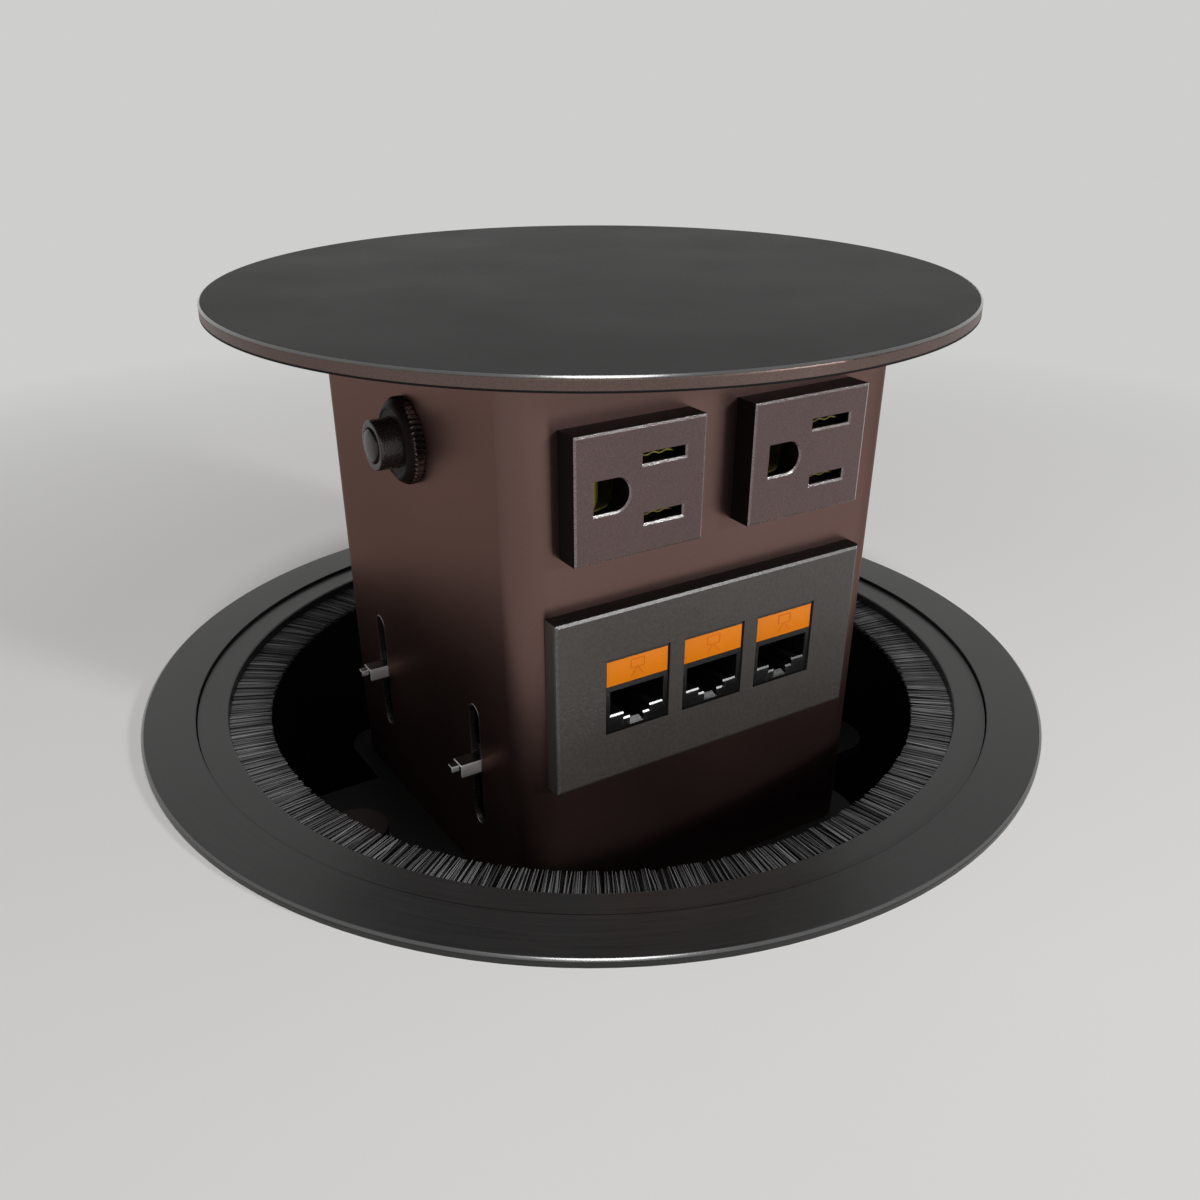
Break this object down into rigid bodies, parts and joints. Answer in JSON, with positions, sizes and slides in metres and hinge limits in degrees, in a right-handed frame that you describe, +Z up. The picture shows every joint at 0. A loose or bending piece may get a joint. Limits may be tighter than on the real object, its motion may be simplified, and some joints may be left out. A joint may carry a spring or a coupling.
{
  "type": "floor box outlet",
  "caption": "Round pull-up floor box: brush-ringed well and a square tower under a lid, with grounded sockets, data jacks and a push-to-reset breaker.",
  "frame": {"origin": "on the axis of the round trim ring, at the floor's surface, where the ring's underside rests", "axes": "+Z up out of the floor, -Y towards the front that carries the sockets, -X towards the side with the breaker"},
  "size_m": [0.243, 0.243, 0.261],
  "materials": {
    "trim_metal": "satin charcoal with a fine turned grain",
    "lid_metal": "satin charcoal powder coat",
    "tower_metal": "satin dark bronze paint",
    "well_metal": "matt black paint",
    "bristle": "black nylon bristles",
    "socket_plastic": "fine-grained dark brown plastic",
    "plate_plastic": "textured dark grey plastic",
    "jack_plastic": "moulded black plastic",
    "tag_plastic": "satin orange plastic",
    "button_plastic": "moulded black plastic",
    "nut_metal": "black oxide, knurled",
    "steel": "bright zinc",
    "brass": "pressed brass",
    "nylon": "moulded black nylon",
    "rubber": "moulded rubber"
  },
  "bodies": {
    "housing": {"trim_flange": "trim_metal", "cover_ring": "trim_metal", "brush_holder": "trim_metal", "brush_ring": "bristle", "flange_screws": "steel", "flange_nuts": "steel", "well_sleeve": "well_metal", "well_lip": "well_metal", "well_foot": "well_metal", "entry_stubs": "well_metal", "entry_bushes": "nylon", "base_plate": "well_metal", "base_screws": "steel", "base_nuts": "steel", "rod_screws": "nut_metal", "earth_stud": "brass", "earth_nuts": "brass", "guide_rods": "nut_metal", "stop_collars": "nut_metal", "collar_screws": "nut_metal", "rest_bumpers": "rubber"},
    "tower": {"bush_housings": "steel", "guide_bushes": "nylon", "friction_screws": "steel", "carrier_plate": "well_metal", "carrier_screws": "steel", "carrier_nuts": "steel", "tower_shell": "tower_metal", "rear_cover": "tower_metal", "rear_cover_screws": "steel", "lid_disc": "lid_metal", "lid_studs": "steel", "lid_nuts": "steel", "socket_left": "socket_plastic", "socket_right": "socket_plastic", "socket_frames": "steel", "socket_backs": "socket_plastic", "terminal_screws": "brass", "line_contacts": "brass", "neutral_contacts": "brass", "ground_contacts": "brass", "data_plate": "plate_plastic", "jack_left": "jack_plastic", "jack_middle": "jack_plastic", "jack_right": "jack_plastic", "jack_tags": "tag_plastic", "jack_pins": "brass", "jack_frame": "steel", "breaker_body": "jack_plastic", "breaker_nut": "nut_metal", "breaker_washer": "steel", "breaker_tabs": "brass"},
    "button": {"reset_button": "button_plastic"},
    "front_bar": {"bar_front": "steel", "bar_blocks_front": "nylon"},
    "rear_bar": {"bar_rear": "steel", "bar_blocks_rear": "nylon"}
  },
  "joints": [
    {"name": "lift", "type": "slide", "parent": "housing", "child": "tower", "axis": [0, 0, 1], "range_m": [-0.104, 0]},
    {"name": "reset", "type": "slide", "parent": "tower", "child": "button", "axis": [-1, 0, 0], "range_m": [0, 0.003]},
    {"name": "front_bar_set", "type": "slide", "parent": "tower", "child": "front_bar", "axis": [0, 0, 1], "range_m": [-0.0145, 0.0125]},
    {"name": "rear_bar_set", "type": "slide", "parent": "tower", "child": "rear_bar", "axis": [0, 0, 1], "range_m": [-0.0145, 0.0125]}
  ]
}
